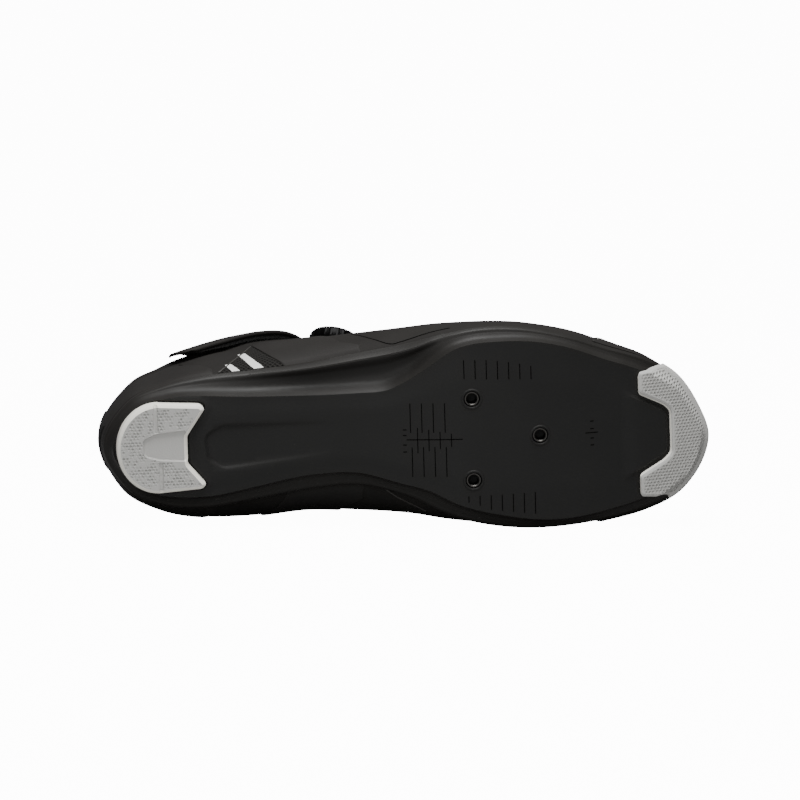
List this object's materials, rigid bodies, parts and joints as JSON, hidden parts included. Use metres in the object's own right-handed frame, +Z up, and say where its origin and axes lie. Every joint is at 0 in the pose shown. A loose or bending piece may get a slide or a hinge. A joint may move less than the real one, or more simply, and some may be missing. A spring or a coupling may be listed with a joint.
{
  "type": "cycling shoe",
  "caption": "Right road cycling shoe with a stiff three-bolt plate, grey heel and toe pads, an instep strap and a lace dial, lying on its medial side.",
  "frame": {"origin": "centre of the bounding box at floor height, with the shoe lying on its medial side", "axes": "+X to the toe, +Z up from the floor and out of the lateral side, +Y from the sole to the collar"},
  "size_m": [0.2708, 0.1142, 0.0911],
  "materials": {
    "plate": "satin moulded nylon",
    "pad": "matte dimpled rubber",
    "nut": "satin turned steel",
    "lining": "knitted lining",
    "microfibre": "fine grained microfibre",
    "film": "satin welded film",
    "tab": "woven tape",
    "dial": "gloss",
    "lace": "coated thin cord"
  },
  "bodies": {
    "root": {"outsole": "plate", "heel_tread": "pad", "toe_tread": "pad", "nut_front": "nut", "nut_rear_lateral": "nut", "nut_rear_medial": "nut", "insole": "lining", "upper": "microfibre", "tongue": "lining", "toe_cap": "film", "heel_counter": "film", "quarter_lateral": "film", "quarter_medial": "film", "heel_tab": "tab", "instep_strap": "microfibre", "dial_base": "dial", "dial_knob": "dial", "guide_medial_rear": "dial", "guide_lateral_rear": "dial", "guide_medial_front": "dial", "guide_lateral_front": "dial", "lace": "lace"}
  },
  "joints": []
}
